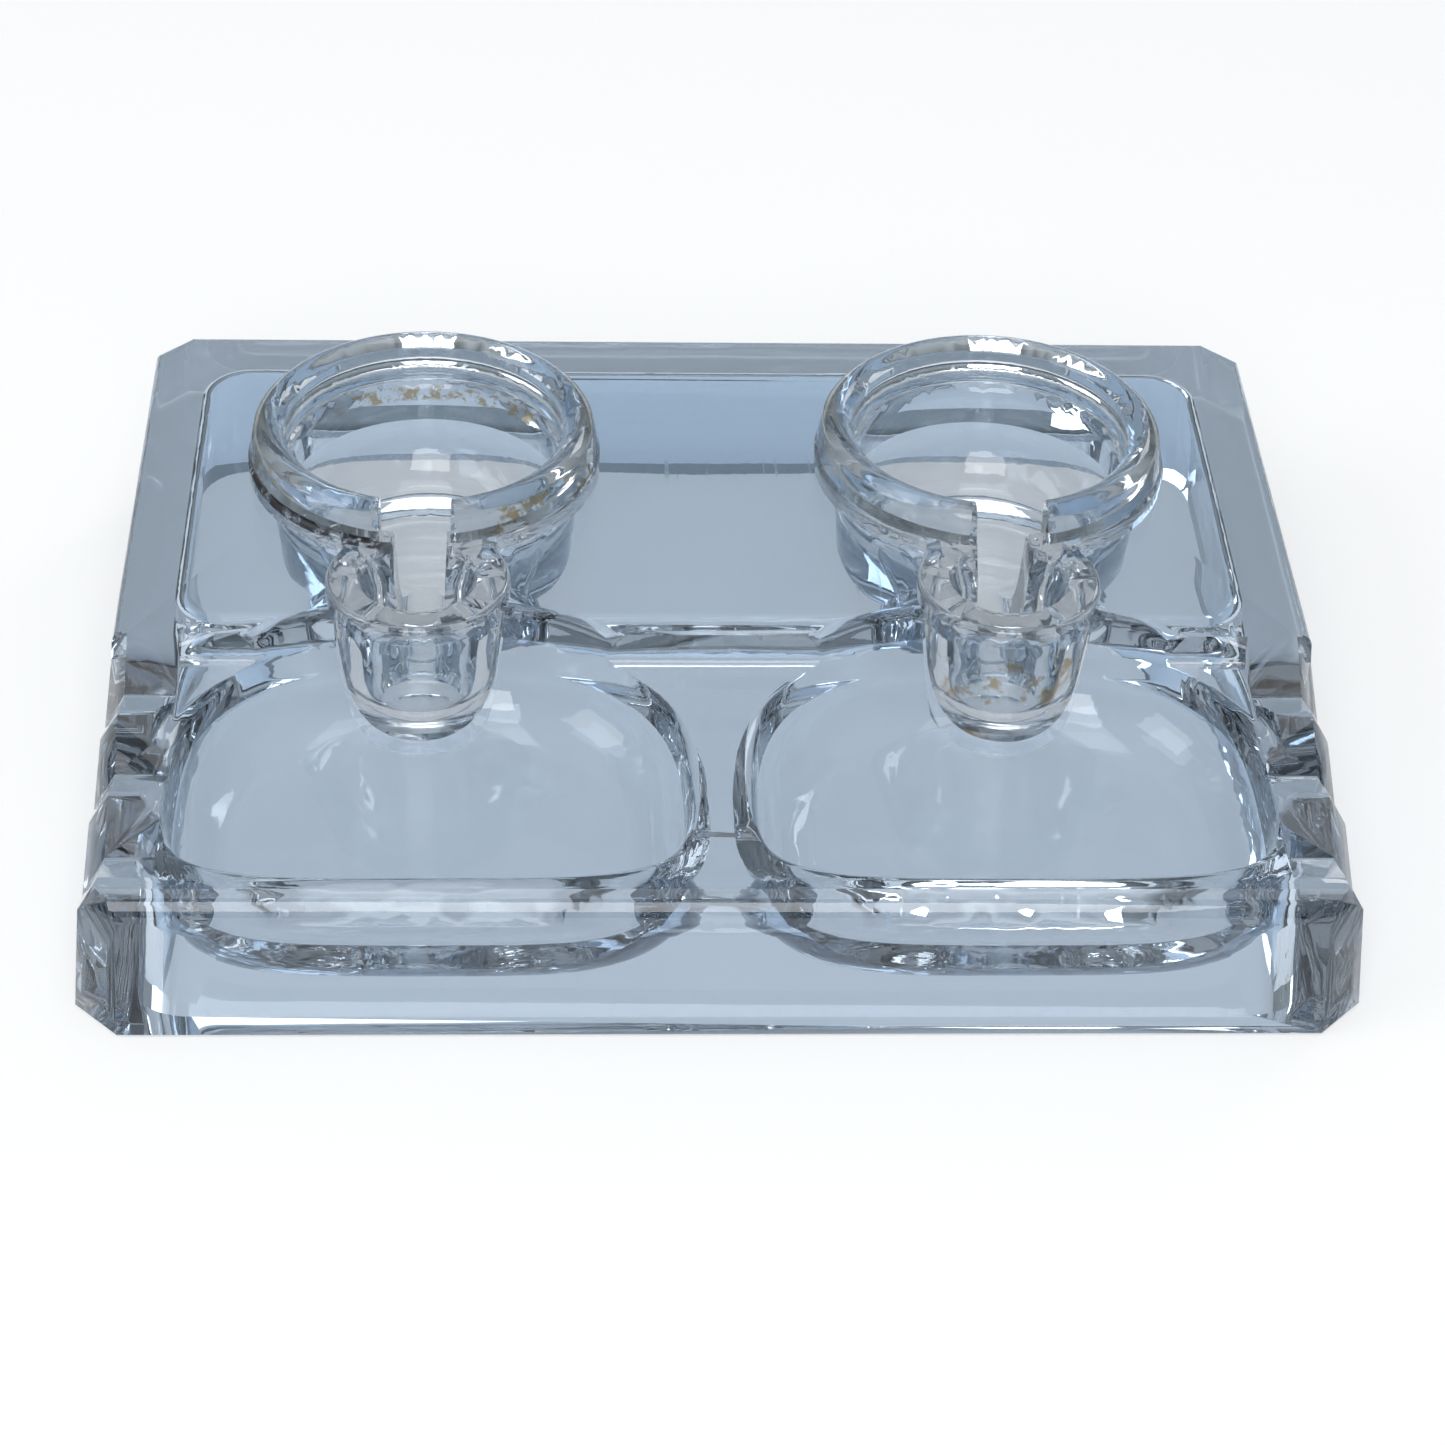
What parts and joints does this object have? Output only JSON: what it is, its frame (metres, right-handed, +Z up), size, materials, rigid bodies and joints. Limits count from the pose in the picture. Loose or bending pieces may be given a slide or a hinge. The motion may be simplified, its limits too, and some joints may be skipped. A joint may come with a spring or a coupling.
{
  "type": "double inkwell stand with pen rests",
  "caption": "Clear pressed-glass desk inkwell stand with drop-in ink pots, slotted turning collars, dip cups, finger dishes and notched pen rests at both ends.",
  "frame": {"origin": "middle of the block at the level of its foot rim", "axes": "+X to the right along the long side, +Y to the back with the two wells, +Z up"},
  "size_m": [0.165, 0.127, 0.034],
  "materials": {
    "stand_glass": "fire polished, lightly scratched",
    "well_glass": "fire polished, ink stained in the corners",
    "collar_glass": "fire polished, ink stained at the foot"
  },
  "bodies": {
    "stand": {"stand": "stand_glass"},
    "left_well": {"left_well": "well_glass"},
    "right_well": {"right_well": "well_glass"},
    "left_collar": {"left_collar": "collar_glass"},
    "right_collar": {"right_collar": "collar_glass"}
  },
  "joints": [
    {"name": "left_well_lift", "type": "slide", "parent": "stand", "child": "left_well", "axis": [0, 0, 1], "range_m": [0, 0.045]},
    {"name": "right_well_lift", "type": "slide", "parent": "stand", "child": "right_well", "axis": [0, 0, 1], "range_m": [0, 0.045]},
    {"name": "left_collar_turn", "type": "hinge", "parent": "left_well", "child": "left_collar", "pos_m": [-0.04, 0.0277, 0.0299], "axis": [0, 0, 1], "continuous": true},
    {"name": "right_collar_turn", "type": "hinge", "parent": "right_well", "child": "right_collar", "pos_m": [0.04, 0.0277, 0.0299], "axis": [0, 0, 1], "continuous": true}
  ]
}
